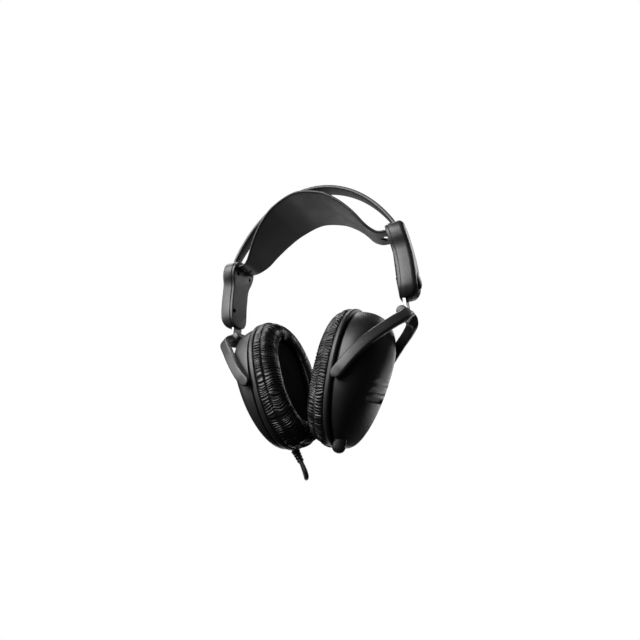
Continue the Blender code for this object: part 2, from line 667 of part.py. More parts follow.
def hank_route():
    """A stadium wound as a flat spring, 24 points a loop, with straight ends."""
    half, radius = HANK_RUN / 2, HANK_FOLD
    middle_a, middle_b = -22.0, 6.6 + radius
    lap = []
    for i in range(7):
        lap.append((-half + HANK_RUN * i / 6, -radius))
    for i in range(1, 6):
        a = -math.pi / 2 + math.pi * i / 6
        lap.append((half + radius * math.cos(a), radius * math.sin(a)))
    for i in range(7):
        lap.append((half - HANK_RUN * i / 6, radius))
    for i in range(1, 6):
        a = math.pi / 2 + math.pi * i / 6
        lap.append((-half + radius * math.cos(a), radius * math.sin(a)))
    points = []
    total = len(lap) * HANK_LOOPS
    first = -HANK_PITCH * HANK_LOOPS / 2
    for i in range(total + 2):
        a, b = lap[i % len(lap)]
        aside = PLUG_ROOM * max(0.0, i - total + 5) / 6
        points.append(hank_point(middle_a + a, middle_b + b, first + HANK_PITCH * i / len(lap) + aside))
    return points


def tube(name, points, radius, resolution, look, parent=None, cyclic=False):
    curve = bpy.data.curves.new(name, "CURVE")
    curve.dimensions = "3D"
    curve.bevel_depth = radius * MM
    curve.bevel_resolution = resolution
    curve.use_fill_caps = not cyclic
    spline = curve.splines.new("POLY")
    spline.points.add(len(points) - 1)
    spline.use_cyclic_u = cyclic
    for target, point in zip(spline.points, points):
        target.co = (*(Vector(point) * MM), 1.0)
    return add_object(name, curve, look, parent)


def lead_route():
    """From the relief's tip down, back under the cup and up to the hank's start."""
    start, along = relief_axis()
    tip = start + along * (RELIEF_LENGTH + GAP)
    hank = hank_route()
    into = (hank[1] - hank[0]).normalized()
    end = hank[0] - into * GAP
    free = [(-13.9, 6.4, -233.6), (-14.2, 8.8, -237.0), (-16.4, 13.0, -239.4), (-20.1, 19.5, -239.9),
            (-25.6, 28.2, -237.2), (-32.7, 36.9, -231.2), (-40.8, 45.2, -222.6), (-44.6, 53.6, -212.4),
            (-43.4, 61.6, -202.0), (-37.4, 68.4, -194.2), (-28.0, 74.0, -190.0), (-17.6, 78.2, -188.4),
            (-8.2, 80.4, -186.4), (-2.2, 80.6, -181.6), (-2.6, 78.3, -176.0)]
    keys = [tip, tip + along * 4.0] + [Vector(p) for p in free] + [end - into * 9.0, end - into * 4.0, end]
    return [keys[0]] + smooth_points(keys[1:-1], 2) + [keys[-1]]


def route_length(points):
    return sum((b - a).length for a, b in zip(points, points[1:]))


def least_gap(points):
    """Least distance between stretches of a route that aren't neighbours along it."""
    dense = [a.lerp(b, k / 4) for a, b in zip(points, points[1:]) for k in range(4)]
    walked = [0.0]
    for a, b in zip(dense, dense[1:]):
        walked.append(walked[-1] + (b - a).length)
    return min((dense[j] - dense[i]).length for i in range(len(dense)) for j in range(i + 1, len(dense))
               if walked[j] - walked[i] > 4 * CORD)


def build_cord(slide, tilt):
    start, along = relief_axis()
    collar = RELIEF_SHANK + 0.9
    ribs = [(0, 0.0), (RELIEF_SHANK, 0.0), (RELIEF_SHANK, 7.8), (collar, 8.0), (collar, 8.5)]
    for k in range(4):
        base = 8.8 + 2.4 * k
        size = 3.4 - 0.2 * k
        ribs += [(size - 0.5, base), (size, base + 0.4), (size, base + 1.5), (size - 0.5, base + 1.9)]
    ribs += [(2.5, RELIEF_LENGTH), (0, RELIEF_LENGTH)]
    add_object("strain_relief", revolve("relief", start, along, ribs, 12), "rubber", tilt)

    lead = lead_route()
    tube("cord_lead", lead, CORD / 2, 2, "rubber", tilt)
    hank = hank_route()
    tube("cord_hank", hank, CORD / 2, 1, "rubber", slide)

    wide = HANK_PITCH * HANK_LOOPS / 2 + CORD / 2 + 2.6
    half = [(5.8, -4.8), (7.0, 0.6), (wide - 1.8, 2.6), (wide, 6.0), (wide, 20.5), (wide - 1.8, 23.9)]
    ring = half + [(-n, b) for n, b in reversed(half)]
    tube("cord_tie", [hank_point(TIE_PLACE, b, n) for n, b in ring], 0.8, 1, "rubber", slide, cyclic=True)

    into = (hank[-1] - hank[-2]).normalized()
    add_object("plug", revolve("plug", hank[-1] + into * GAP, into, [
        (0, 0.0), (2.6, 0.0), (3.2, 2.0), (3.4, 7.0), (4.2, 9.0), (4.2, 20.0), (3.8, 21.0), (1.75, 21.0),
        (1.75, 26.2), (1.55, 26.4), (1.55, 26.9), (1.75, 27.1), (1.75, 31.0), (1.2, 31.6), (1.75, 32.4),
        (0.7, 34.6), (0, 35.0)], 12), "gold", slide)
    print("cord length mm", round(route_length(lead) + route_length(hank), 1))
    print("hank gap to itself mm", round(least_gap(hank) - CORD, 2))


def build():
    build_bow()
    build_strap()
    for label, side in SIDES.items():
        slide = build_housing(label, side)
        tilt = build_yoke(label, side, slide)
        build_cup(label, side, tilt)
        if side > 0:
            build_microphone(tilt)
        else:
            build_cord(slide, tilt)


build()
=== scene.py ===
# %% [markdown]
# # Over-ear headphones
# A black headset with a two-part spring bow, a head strap hung under it, sliding yokes
# and two oval cups with pleated cushions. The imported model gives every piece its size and
# place. This file lays smooth skins and finishes over the hard parts and makes the soft
# parts, which CAD only holds a place for.

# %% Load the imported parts
import json
import math
import random

import bmesh
import bpy
from mathutils import Matrix, Vector, noise


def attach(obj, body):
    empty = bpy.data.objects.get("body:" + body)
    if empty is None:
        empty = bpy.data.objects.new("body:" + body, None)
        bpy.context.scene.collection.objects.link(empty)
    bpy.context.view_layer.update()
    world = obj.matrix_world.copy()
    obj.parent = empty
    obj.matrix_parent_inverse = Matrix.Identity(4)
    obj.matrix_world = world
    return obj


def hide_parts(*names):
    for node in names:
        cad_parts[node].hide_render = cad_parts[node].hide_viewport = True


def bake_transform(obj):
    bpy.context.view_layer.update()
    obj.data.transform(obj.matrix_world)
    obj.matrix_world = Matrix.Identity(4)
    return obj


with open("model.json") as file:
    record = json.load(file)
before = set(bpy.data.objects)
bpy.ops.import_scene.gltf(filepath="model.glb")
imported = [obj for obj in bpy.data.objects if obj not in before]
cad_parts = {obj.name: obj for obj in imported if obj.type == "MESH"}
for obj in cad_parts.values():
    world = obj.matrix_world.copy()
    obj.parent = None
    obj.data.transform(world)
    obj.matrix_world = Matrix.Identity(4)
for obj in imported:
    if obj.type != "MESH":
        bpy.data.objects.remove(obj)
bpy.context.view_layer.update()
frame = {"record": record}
MM = 0.001
SIDES = {"left": -1, "right": 1}

# %% [markdown]
# The camera stands where the photographer's did: low, a little to the right and close,
# so the near cup looks larger than the far one. Its place came from fitting pairs of
# mirrored points. The lens value is for a sensor 36 mm wide and a square picture.

# %% Camera
CAMERA_PLACE = Vector((130.0, -281.4, -201.3))
CAMERA_YAW, CAMERA_PITCH, CAMERA_ROLL = 23.69, 16.65, -2.02
FOCAL_PIXELS, PICTURE_WIDTH = 366.5, 640.0
SENSOR_WIDTH = 36.0


def place_camera():
    yaw, pitch, roll = (math.radians(v) for v in (CAMERA_YAW, CAMERA_PITCH, CAMERA_ROLL))
    level = Vector((math.cos(yaw), math.sin(yaw), 0.0))
    ahead = Vector((-math.sin(yaw) * math.cos(pitch), math.cos(yaw) * math.cos(pitch), math.sin(pitch)))
    above = level.cross(ahead)
    right = level * math.cos(roll) + above * math.sin(roll)
    up = above * math.cos(roll) - level * math.sin(roll)
    lens = bpy.data.cameras.new("photo_camera")
    lens.sensor_width = SENSOR_WIDTH
    lens.lens = SENSOR_WIDTH * FOCAL_PIXELS / PICTURE_WIDTH
    lens.clip_start = 0.01
    camera = bpy.data.objects.new("photo_camera", lens)
    turn = Matrix((right, up, -ahead)).transposed().to_4x4()
    camera.matrix_world = Matrix.Translation(CAMERA_PLACE * MM) @ turn
    bpy.context.scene.collection.objects.link(camera)
    bpy.context.scene.camera = camera
    return camera


camera = place_camera()
print("lens mm", round(camera.data.lens, 2))

# %% [markdown]
# A finish is written as it would be ordered: a colour in hex and a surface. Two small
# functions are enough. One turns hex into the linear numbers that Blender works in, the
# other adds a node with its settings and links.

# %% Colour and node helpers


def linear(text):
    out = []
    for k in (1, 3, 5):
        v = int(text[k:k + 2], 16) / 255
        out.append(v / 12.92 if v <= 0.04045 else ((v + 0.055) / 1.055) ** 2.4)
    return (*out, 1.0)


def add(tree, kind, inputs=None, **settings):
    item = tree.nodes.new(kind)
    for key, value in settings.items():
        setattr(item, key, value)
    for key, value in (inputs or {}).items():
        if isinstance(value, bpy.types.NodeSocket):
            tree.links.new(value, item.inputs[key])
        else:
            item.inputs[key].default_value = value
    return item


# %% [markdown]
# The picture is a cut-out on white, so the camera sees white paper all round and there is
# no floor to throw light on the cups from below. Seven soft lights draw the pale edges on
# the black plastic: a large one in front, one at the left, a long one above and four small
# ones behind. The room itself stays dim, because black plastic shows whatever it reflects.

# %% World and lights
AMBIENT = 0.10
MIRRORED_FRONT, MIRRORED_BEHIND = 0.02, 0.04


def build_world():
    world = bpy.data.worlds.new("studio")
    bpy.context.scene.world = world
    world.use_nodes = True
    tree = world.node_tree
    tree.nodes.clear()
    path = add(tree, "ShaderNodeLightPath")
    place = add(tree, "ShaderNodeTexCoord")
    axis = add(tree, "ShaderNodeSeparateXYZ", {"Vector": place.outputs["Generated"]})
    behind = add(tree, "ShaderNodeMapRange",
                 {"Value": axis.outputs["Y"], "From Min": 0.1, "From Max": 0.9,
                  "To Min": MIRRORED_FRONT, "To Max": MIRRORED_BEHIND})
    seen = add(tree, "ShaderNodeMath",
               {0: path.outputs["Is Glossy Ray"], 1: path.outputs["Is Transmission Ray"]},
               operation="MAXIMUM")
    white = linear("#ffffff")
    room = add(tree, "ShaderNodeBackground", {"Color": white, "Strength": AMBIENT})
    backdrop = add(tree, "ShaderNodeBackground", {"Color": white, "Strength": behind.outputs["Result"]})
    paper = add(tree, "ShaderNodeBackground", {"Color": white, "Strength": 1.0})
    mirrored = add(tree, "ShaderNodeMixShader",
                   {0: seen.outputs[0], 1: room.outputs[0], 2: backdrop.outputs[0]})
    final = add(tree, "ShaderNodeMixShader",
                {0: path.outputs["Is Camera Ray"], 1: mirrored.outputs[0], 2: paper.outputs[0]})
    add(tree, "ShaderNodeOutputWorld", {"Surface": final.outputs[0]})


def soft_light(name, place, target, width, height, watts):
    lamp = bpy.data.lights.new(name, "AREA")
    lamp.shape = "RECTANGLE"
    lamp.size, lamp.size_y, lamp.energy = width, height, watts
    item = bpy.data.objects.new(name, lamp)
    item.location = place
    item.rotation_euler = (Vector(target) - Vector(place)).to_track_quat("-Z", "Y").to_euler()
    bpy.context.scene.collection.objects.link(item)


build_world()
MIDDLE = (0.0, 0.0, -0.11)
soft_light("key_front", (-0.33, -0.83, 0.42), MIDDLE, 0.95, 0.6, 22.0)
soft_light("key_left", (-0.88, -0.34, 0.22), MIDDLE, 0.6, 0.9, 5.0)
soft_light("top_strip", (-0.40, 0.30, 0.72), MIDDLE, 0.9, 0.4, 8.0)
soft_light("back_low", (-0.35, 0.74, -0.66), MIDDLE, 0.6, 0.5, 1.6)
soft_light("back_left", (-0.62, 0.92, -0.02), MIDDLE, 0.6, 0.6, 1.2)
soft_light("back_right", (0.52, 0.75, 0.40), MIDDLE, 0.4, 0.3, 2.4)
soft_light("back_edge", (0.12, 1.0, -0.06), MIDDLE, 0.25, 0.6, 1.5)

bpy.context.scene.view_settings.view_transform = "Standard"

# %% [markdown]
# Nearly everything here is moulded plastic. Moulds are spark-eroded, which leaves a fine
# even grain on the part: the highlight goes soft and wide, and black reads as dark grey
# where the light falls. Leatherette is a skin of plastic printed with a leather grain, so
# its cells are larger and it shines more.

# %% Finishes


def finish(name, colour, roughness, metallic=0.0, grain=0.4, depth=0.006, spread=0.05, cells=0.0):
    """Moulded or drawn surface: grain size, its depth and the size of leather cells in millimetres."""
    look = bpy.data.materials.new(name)
    look.use_nodes = True
    tree = look.node_tree
    shader = tree.nodes["Principled BSDF"]
    place = add(tree, "ShaderNodeTexCoord").outputs["Object"]
    pits = add(tree, "ShaderNodeTexNoise", {"Vector": place, "Scale": 1000 / grain, "Detail": 2.0})
    patches = add(tree, "ShaderNodeTexNoise", {"Vector": place, "Scale": 60.0, "Detail": 3.0})
    dull = add(tree, "ShaderNodeMapRange",
               {"Value": patches.outputs["Fac"], "From Min": 0.3, "From Max": 0.7,
                "To Min": roughness - spread, "To Max": roughness + spread})
    bump = add(tree, "ShaderNodeBump",
               {"Height": pits.outputs["Fac"], "Distance": depth * MM, "Strength": 0.6})
    if cells:
        skin_cells = add(tree, "ShaderNodeTexVoronoi", {"Vector": place, "Scale": 1000 / cells},
                         feature="DISTANCE_TO_EDGE")
        bump = add(tree, "ShaderNodeBump",
                   {"Height": skin_cells.outputs["Distance"], "Distance": cells * 0.1 * MM,
                    "Strength": 0.5, "Normal": bump.outputs["Normal"]})
    tree.links.new(dull.outputs["Result"], shader.inputs["Roughness"])
    tree.links.new(bump.outputs["Normal"], shader.inputs["Normal"])
    base = linear(colour)
    worn = tuple(min(1.0, v * 1.35) for v in base[:3]) + (1.0,)
    tint = add(tree, "ShaderNodeMix", {0: patches.outputs["Fac"], 6: base, 7: worn}, data_type="RGBA")
    tree.links.new(tint.outputs[2], shader.inputs["Base Color"])
    shader.inputs["Metallic"].default_value = metallic
    return look


LOOKS = {
    "band_plastic": finish("satin_abs_band", "#151516", 0.48, spread=0.03),
    "housing_plastic": finish("satin_abs_housing", "#1b1b1c", 0.44),
    "yoke_plastic": finish("satin_abs_yoke", "#1b1b1c", 0.42),
    "shell_plastic": finish("satin_abs_shell", "#101011", 0.44, spread=0.02),
    "rim_plastic": finish("satin_abs_rim", "#0f0f10", 0.46),
    "baffle_plastic": finish("plain_abs_baffle", "#121213", 0.55),
    "strap_leather": finish("leatherette_strap", "#171718", 0.50, grain=0.5, depth=0.03, cells=0.9),
    "cushion_leather": finish("leatherette_cushion", "#0a0a0b", 0.34, grain=0.4, depth=0.01, cells=0.8),
    "ear_cloth": finish("knitted_ear_cloth", "#020202", 0.95, grain=0.7, depth=0.2),
    "strip_steel": finish("rolled_spring_steel", "#77797c", 0.34, metallic=1.0, depth=0.005),
    "screw_steel": finish("blackened_steel", "#1c1c1e", 0.45, metallic=1.0),
    "driver_metal": finish("painted_basket", "#2c2c2e", 0.5),
    "diaphragm_film": finish("drawn_film", "#3c3c40", 0.25),
    "microphone_plastic": finish("satin_abs_microphone", "#151516", 0.36),
    "boom_rubber": finish("extruded_boom_rubber", "#161616", 0.6),
    "cord_rubber": finish("extruded_cord_jacket", "#19191a", 0.5, grain=0.25),
    "tie_cloth": finish("woven_tie", "#131313", 0.6, grain=0.6, depth=0.08),
    "plug_metal": finish("gold_plated_contact", "#d8c690", 0.2, metallic=1.0, depth=0.003),
}
GRIP_RUBBER = finish("moulded_plug_grip", "#161617", 0.55)
for slot, shine in (("ear_cloth", 0.05), ("cushion_leather", 0.36)):
    LOOKS[slot].node_tree.nodes["Principled BSDF"].inputs["Specular IOR Level"].default_value = shine
for entry in frame["record"]["subparts"]:
    part = bpy.data.objects.get(entry["node"])
    part.data.materials.clear()
    part.data.materials.append(LOOKS[entry["material_slot"]])
print("finishes", len(LOOKS) + 1)

# %% [markdown]
# ## How the pieces are shaped
# Swept and lofted forms start as one flat grid, whose rows are laid on the surface. Where
# its edges come together they are merged, and open ends are filled. Turned forms are a
# profile spun round an axis. A recess is cut with a Boolean, as a milling cutter would.

# %% Shape helpers


def wrap(bm, rows, columns, place):
    """Lays a grid on a surface: place(i, j) gives each crossing in millimetres."""
    made = bmesh.ops.create_grid(bm, x_segments=rows, y_segments=columns, size=1.0)["verts"]
    for vert in made:
        i = round((vert.co.x + 1.0) / 2.0 * rows)
        j = round((vert.co.y + 1.0) / 2.0 * columns)
        vert.co = place(i, j) * MM
    bmesh.ops.remove_doubles(bm, verts=bm.verts, dist=1e-7)


def close_ends(bm):
    bmesh.ops.holes_fill(bm, edges=[e for e in bm.edges if e.is_boundary], sides=0)


def turned(bm, origin, axis, profile, steps=48):
    """Spins a profile of (radius, distance along) round an axis."""
    axis = axis.normalized()
    aside = axis.orthogonal().normalized()
    chain = [bm.verts.new((origin + axis * d + aside * r) * MM) for r, d in profile]
    edges = [bm.edges.new(pair) for pair in zip(chain, chain[1:])]
    bmesh.ops.spin(bm, geom=chain + edges, cent=origin * MM, axis=axis, angle=2.0 * math.pi, steps=steps,
                   use_merge=True)
    bmesh.ops.remove_doubles(bm, verts=bm.verts, dist=1e-6)


def box(bm, corner, edges):
    """A block from one corner and its three edges, in millimetres."""
    made = bmesh.ops.create_cube(bm, size=1.0)["verts"]
    for vert in made:
        shares = vert.co + Vector((0.5, 0.5, 0.5))
        vert.co = (corner + edges[0] * shares.x + edges[1] * shares.y + edges[2] * shares.z) * MM
    return made


def hold(bm, name):
    bmesh.ops.recalc_face_normals(bm, faces=bm.faces)
    mesh = bpy.data.meshes.new(name)
    bm.to_mesh(mesh)
    bm.free()
    item = bpy.data.objects.new(name, mesh)
    bpy.context.scene.collection.objects.link(item)
    return item


def carve(bm, cutter):
    """Takes the cutter's volume out of a closed form."""
    block, tool = hold(bm, "block"), hold(cutter, "tool")
    step = block.modifiers.new("carve", "BOOLEAN")
    step.object = tool
    step.solver = "EXACT"
    out = bmesh.new()
    out.from_object(block, bpy.context.evaluated_depsgraph_get())
    for item in (block, tool):
        bpy.data.objects.remove(item, do_unlink=True)
    return out


def piece(bm, name, slot, body, *nodes, sharp=38.0, look=None):
    """Shades a form smooth up to an angle, gives it its finish and hangs it on its body."""
    for face in bm.faces:
        face.smooth = True
    bmesh.ops.recalc_face_normals(bm, faces=bm.faces)
    for edge in bm.edges:
        edge.smooth = edge.calc_face_angle(0.0) < math.radians(sharp)
    item = hold(bm, name)
    item.data.materials.append(look or LOOKS[slot])
    if body:
        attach(item, body)
    if nodes:
        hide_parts(*nodes)
    print(name, len(item.data.polygons), "faces")
    return item


def curve_through(points, steps):
    """Catmull-Rom curve through points."""
    pts = [Vector(p) for p in points]
    pts = [pts[0] * 2 - pts[1]] + pts + [pts[-1] * 2 - pts[-2]]
    out = []
    for k in range(1, len(pts) - 2):
        p0, p1, p2, p3 = pts[k - 1:k + 3]
        for i in range(steps):
            t = i / steps
            out.append(0.5 * (2 * p1 + (p2 - p0) * t + (2 * p0 - 5 * p1 + 4 * p2 - p3) * t * t
                              + (3 * p1 - p0 - 3 * p2 + p3) * t ** 3))
    out.append(pts[-2].copy())
    return out


def soft_rectangle(width, height, corner, turns):
    """Outline of a rectangle with rounded corners."""
    out = []
    for k, (sx, sy) in enumerate(((1, 1), (-1, 1), (-1, -1), (1, -1))):
        centre = Vector((sx * (width / 2 - corner), sy * (height / 2 - corner)))
        for i in range(turns + 1):
            a = math.pi / 2 * (k + i / turns)
            out.append(centre + Vector((math.cos(a), math.sin(a))) * corner)
    return out


def inset(outline, distance):
    """Moves a closed outline inwards along its own normals."""
    count = len(outline)
    area = sum(outline[i].x * outline[(i + 1) % count].y - outline[(i + 1) % count].x * outline[i].y
               for i in range(count))
    turn = 1.0 if area > 0 else -1.0
    out = []
    for i, point in enumerate(outline):
        along = (outline[(i + 1) % count] - outline[i - 1]).normalized()
        out.append(point + Vector((-along.y, along.x)) * (distance * turn))
    return out


# %% [markdown]
# ## Sizes and local frames
# All sizes are in millimetres. Most are the model's own driving sizes. Some are eased a
# little towards the photograph: the rim, the shell's base and depth, the baffle's front, the
# cushion's wedge, the bow's spread, lift, taper and lean, the strap's sag and slots, the
# housing's bulge and slimming, and the tuck of the yoke's crown. A cup has its own
# directions: p out of the rim, q to the rear and s up. A housing has x out of the seam with
# its cover and a distance down along the slider.

# %% Sizes
GAP = 0.3
CUP_HEIGHT, CUP_WIDTH = 112.0, 90.0
CUP_TILT = math.radians(13.0)
CUP_ASIDE, CUP_DROP = 29.1, 46.3
OVAL_POWER, DOME_POWER = 2.25, 2.6
RIM_BACK, RIM_FRONT, RIM_BAND = 4.8, 0.6, 6.5
SHELL_BASE, SHELL_INSET, SHELL_DEPTH, SHELL_RAKE = 5.1, 2.0, 22.9, 0.206
BAFFLE_FRONT = -6.3
GROOVE_WIDTH, GROOVE_DEPTH = 2.0, 2.6
CUSHION_BACK, CUSHION_FRONT, CUSHION_ROLL = RIM_FRONT - GAP, -18.0, 19.5
BOW_HALF_SPAN, BOW_DROP, BOW_TOP = 96.2, 145.3, 22.2
BOW_SPREAD, BOW_LIFT, BOW_TAPER, BOW_ASKEW = 3.0, 8.0, 1.0, -1.4
BOW_WIDTH, BOW_THICK = 14.0, 3.2
BOW_END_ANGLE = math.radians(60.0)
BOW_SEAT, BOW_ASIDE = 12.0, 7.0
STRAP_THICK, STRAP_RISE, STRAP_SEAT = 2.4, 1.5, 7.0
STRAP_WIDTH, STRAP_END_WIDTH, STRAP_SAG = 63.0, 24.0, 1.4
SLOT_HALF, SLOT_LONG, SLOT_SHORT_OF_HOUSING = 2.8, 7.0, 2.6
HOUSING_FLARE = math.radians(3.6)
HOUSING_LENGTH, HOUSING_WIDTH, HOUSING_WAIST, HOUSING_DEPTH = 67.0, 33.6, 24.8, 13.4
COVER_THICK = 2.5
HOUSING_BULGE, HOUSING_DRAWN_IN, BULGE_MIDDLE = 4.0, 1.2, 38.0
WAIST_SLIM, FOOT_SLIM, FOOT_START, FOOT_LENGTH = 0.10, 0.20, 58.0, 9.0
STRIP_X, STRIP_THICK, STRIP_WIDTH, STRIP_HOLD, STRIP_REACH = 1.4, 2.0, 12.0, 20.0, 10.0
SLIDE_RANGE = 30.0
SCREW_ROWS, SCREW_SPREAD = (13.0, HOUSING_LENGTH - 16.0), 9.4
SCREW_RADIUS, SCREW_SHANK = 1.7, 0.9
CAP_RADIUS, CAP_PLACE, CAP_SEAT, CAP_SUNK = 7.0, 14.0, 2.9, 2.2
PIVOT_OUT, PIVOT_CLEAR = 9.2, 1.2
KNUCKLE_RADIUS, KNUCKLE_WIDTH = 4.29, 14.6
ARM_HEIGHT, ARM_WIDTH = 8.6, 5.4
CROWN_OUT, CROWN_DROP, CROWN_TUCK = 0.8, 2.2, 2.0
MIC_P, MIC_Q, MIC_RADIUS, MIC_LENGTH = 9.3, -20.0, 5.0, 17.2
CORD = 3.5
RELIEF_START, RELIEF_LEAN = (8.6, 6.0, -48.0), -0.287
RELIEF_LENGTH, RELIEF_SHANK = 18.5, 3.0

CUP_OUT = Vector((math.cos(CUP_TILT), 0.0, -math.sin(CUP_TILT)))
CUP_UP = Vector((math.sin(CUP_TILT), 0.0, math.cos(CUP_TILT)))
HOUSE_DOWN = Vector((math.sin(HOUSING_FLARE), 0.0, -math.cos(HOUSING_FLARE)))
HOUSE_OUT = Vector((math.cos(HOUSING_FLARE), 0.0, math.sin(HOUSING_FLARE)))
REAR = Vector((0.0, 1.0, 0.0))
HOUSING_TOP = Vector((BOW_HALF_SPAN * math.sin(BOW_END_ANGLE) - BOW_ASIDE, 0.0,
                      BOW_TOP - BOW_DROP * (1.0 - math.cos(BOW_END_ANGLE)) + BOW_SEAT))
STRIP_TOP = HOUSING_LENGTH - SLIDE_RANGE - STRIP_HOLD
STRIP_END = HOUSING_LENGTH + STRIP_REACH
SLIDER_END = HOUSING_TOP + HOUSE_OUT * STRIP_X + HOUSE_DOWN * STRIP_END
CUP_CENTRE = Vector((CUP_ASIDE, 0.0, SLIDER_END.z - CUP_DROP))
PIVOT = CUP_CENTRE + CUP_OUT * PIVOT_OUT + REAR * (CUP_WIDTH / 2 + PIVOT_CLEAR)


def mirror(side, vector):
    return Vector((side * vector.x, vector.y, vector.z))


def cup(side, p, q, s):
    return mirror(side, CUP_CENTRE + CUP_OUT * p + CUP_UP * s + REAR * q)


def house(side, x, y, down):
    return mirror(side, HOUSING_TOP + HOUSE_OUT * x + HOUSE_DOWN * down + REAR * y)


def bowed(down):
    """How far a housing bulges outwards along its length."""
    return HOUSING_BULGE * (1.0 - ((down - BULGE_MIDDLE) / BULGE_MIDDLE) ** 2) - HOUSING_DRAWN_IN


def slimmed(down):
    """Share of a housing's depth that is missing: at its waist and more at its foot."""
    return min(WAIST_SLIM, 0.01 * down) + FOOT_SLIM * max(0.0, (down - FOOT_START) / FOOT_LENGTH) ** 2


def oval(angle, shrink=0.0):
    """Point (q, s) of the cup's oval, drawn in from the rim's edge."""
    c, d = math.cos(angle), math.sin(angle)
    q = (CUP_WIDTH / 2 - shrink) * math.copysign(abs(c) ** (2 / OVAL_POWER), c)
    s = (CUP_HEIGHT / 2 - shrink) * math.copysign(abs(d) ** (2 / OVAL_POWER), d)
    return q, s


print("cup centre", tuple(round(v, 1) for v in CUP_CENTRE), "pivot", tuple(round(v, 1) for v in PIVOT))

# %% [markdown]
# ## Bow
# Two moulded springs meet at the top over a steel tongue. Each is a flat bar with softened
# edges, bent to an ellipse, so its section is swept along the ellipse. The free part stands
# a little wider than the model's; near its housing it runs back to the model's own end.

# %% Bow halves
BOW_SEAM = 0.3
BOW_BLEND_START, BOW_BLEND_LONG = 54.0, 7.0


def bow_line(side, rows):
    """Middle line of one half, from the seam down into its housing."""
    seam = BOW_SEAM / BOW_HALF_SPAN
    line = []
    for i in range(rows + 1):
        angle = seam + (BOW_END_ANGLE - seam) * i / rows
        t = min(1.0, max(0.0, (math.degrees(angle) - BOW_BLEND_START) / BOW_BLEND_LONG))
        free = 1.0 - t * t * (3.0 - 2.0 * t)
        span, drop = BOW_HALF_SPAN + BOW_SPREAD * free, BOW_DROP - BOW_LIFT * free
        point = Vector((span * math.sin(angle), 0.0, BOW_TOP - drop * (1.0 - math.cos(angle))))
        line.append(mirror(side, point) + Vector((BOW_ASKEW * free, 0.0, 0.0)))
    return line


def build_bow(label, side):
    section = soft_rectangle(BOW_WIDTH, BOW_THICK, 1.2, 5)
    rows = 80
    line = bow_line(side, rows)

    def place(i, j):
        along = (line[min(i + 1, rows)] - line[max(i - 1, 0)]).normalized()
        up = REAR.cross(along)
        corner = section[j % len(section)]
        aside = corner.x if corner.x < 0 else corner.x * (1.0 - BOW_TAPER * (i / rows) ** 2.5)
        return line[i] + REAR * aside + up * corner.y

    bm = bmesh.new()
    wrap(bm, rows, len(section), place)
    close_ends(bm)
    piece(bm, f"{label}_bow_moulding", "band_plastic", "frame", f"bow_{label}")


for label, side in SIDES.items():
    build_bow(label, side)

# %% [markdown]
# ## Head strap
# A band of soft leatherette, wide over the head and narrow where its ends are held in the
# housings. It is one band with a rounded edge: an upper and a lower face that meet along the
# outline and along a short slot just before each housing.

# %% Strap


def strap_line():
    """Underside as (x, z, share of the extra half width), from left to right."""
    reach = HOUSING_TOP.x - GAP * 3
    end = HOUSING_TOP.z - STRAP_SEAT - STRAP_SAG
    shares = [(0.0, 0.0, 1.0), (0.301, 0.130, 0.94), (0.492, 0.340, 0.78), (0.634, 0.577, 0.56),
              (0.737, 0.805, 0.32), (0.809, 0.920, 0.14), (0.882, 0.985, 0.03), (1.0, 1.0, 0.0)]
    keys = [(reach * a, STRAP_RISE - (STRAP_RISE - end) * b, c) for a, b, c in shares]
    return curve_through([(-x, z, c) for x, z, c in reversed(keys[1:])] + keys, 14)


def build_strap():
    line = strap_line()
    rows, columns = len(line) - 1, 28
    slot_end = HOUSING_TOP.x - SLOT_SHORT_OF_HOUSING

    def slot_half(x):
        t = (abs(x) - slot_end + SLOT_LONG) / SLOT_LONG
        if not 0.0 < t < 1.0:
            return 0.0
        return SLOT_HALF * math.sin(math.pi * t ** 1.6) ** 0.8

    def place(i, j, sign, face):
        point = line[i]
        along = line[min(i + 1, rows)] - line[max(i - 1, 0)]
        along = Vector((along.x, along.y)).normalized()
        half = STRAP_END_WIDTH / 2 + (STRAP_WIDTH - STRAP_END_WIDTH) / 2 * point.z
        slot = slot_half(point.x)
        y = slot + (half - slot) * (1.0 - math.cos(math.pi * j / columns)) / 2.0
        edge = half - y if slot == 0.0 else min(half - y, y - slot)
        soft = min(1.0, max(0.0, edge) / STRAP_THICK * 2.0)
        rise = STRAP_THICK / 2 * (1.0 + face * math.sqrt(1.0 - (1.0 - soft) ** 2))
        return Vector((point.x - along.y * rise, sign * y, point.y + along.x * rise))

    bm = bmesh.new()
    for sign in (-1, 1):
        for face in (-1, 1):
            wrap(bm, rows, columns, lambda i, j: place(i, j, sign, face))
    close_ends(bm)
    return piece(bm, "strap_band", "strap_leather", "frame", "head_strap", sharp=70.0)


strap = build_strap()

# %% [markdown]
# ## Housings
# Each bow ends in a housing of two mouldings: a deep outer shell with a softened face and a
# flat cover on the head's side, held by four sunk screws. The round cap over the slider's
# catch sits in the outer face.

# %% Housings, covers, caps and screws


def housing_outline():
    wide, waist, low = HOUSING_WIDTH / 2, HOUSING_WAIST / 2, HOUSING_LENGTH
    keys = [(0.0, 0.0), (wide - 7.8, 0.3), (wide - 2.2, 3.6), (wide, 9.5), (wide - 0.9, 16.5),
            (waist + 0.8, 23.5), (waist, 32.0), (waist, low - 14.0), (waist - 1.4, low - 6.0),
            (waist - 5.6, low - 1.0), (0.0, low)]
    half = curve_through(keys, 6)
    return half + [Vector((-p.x, p.y)) for p in reversed(half[1:-1])]


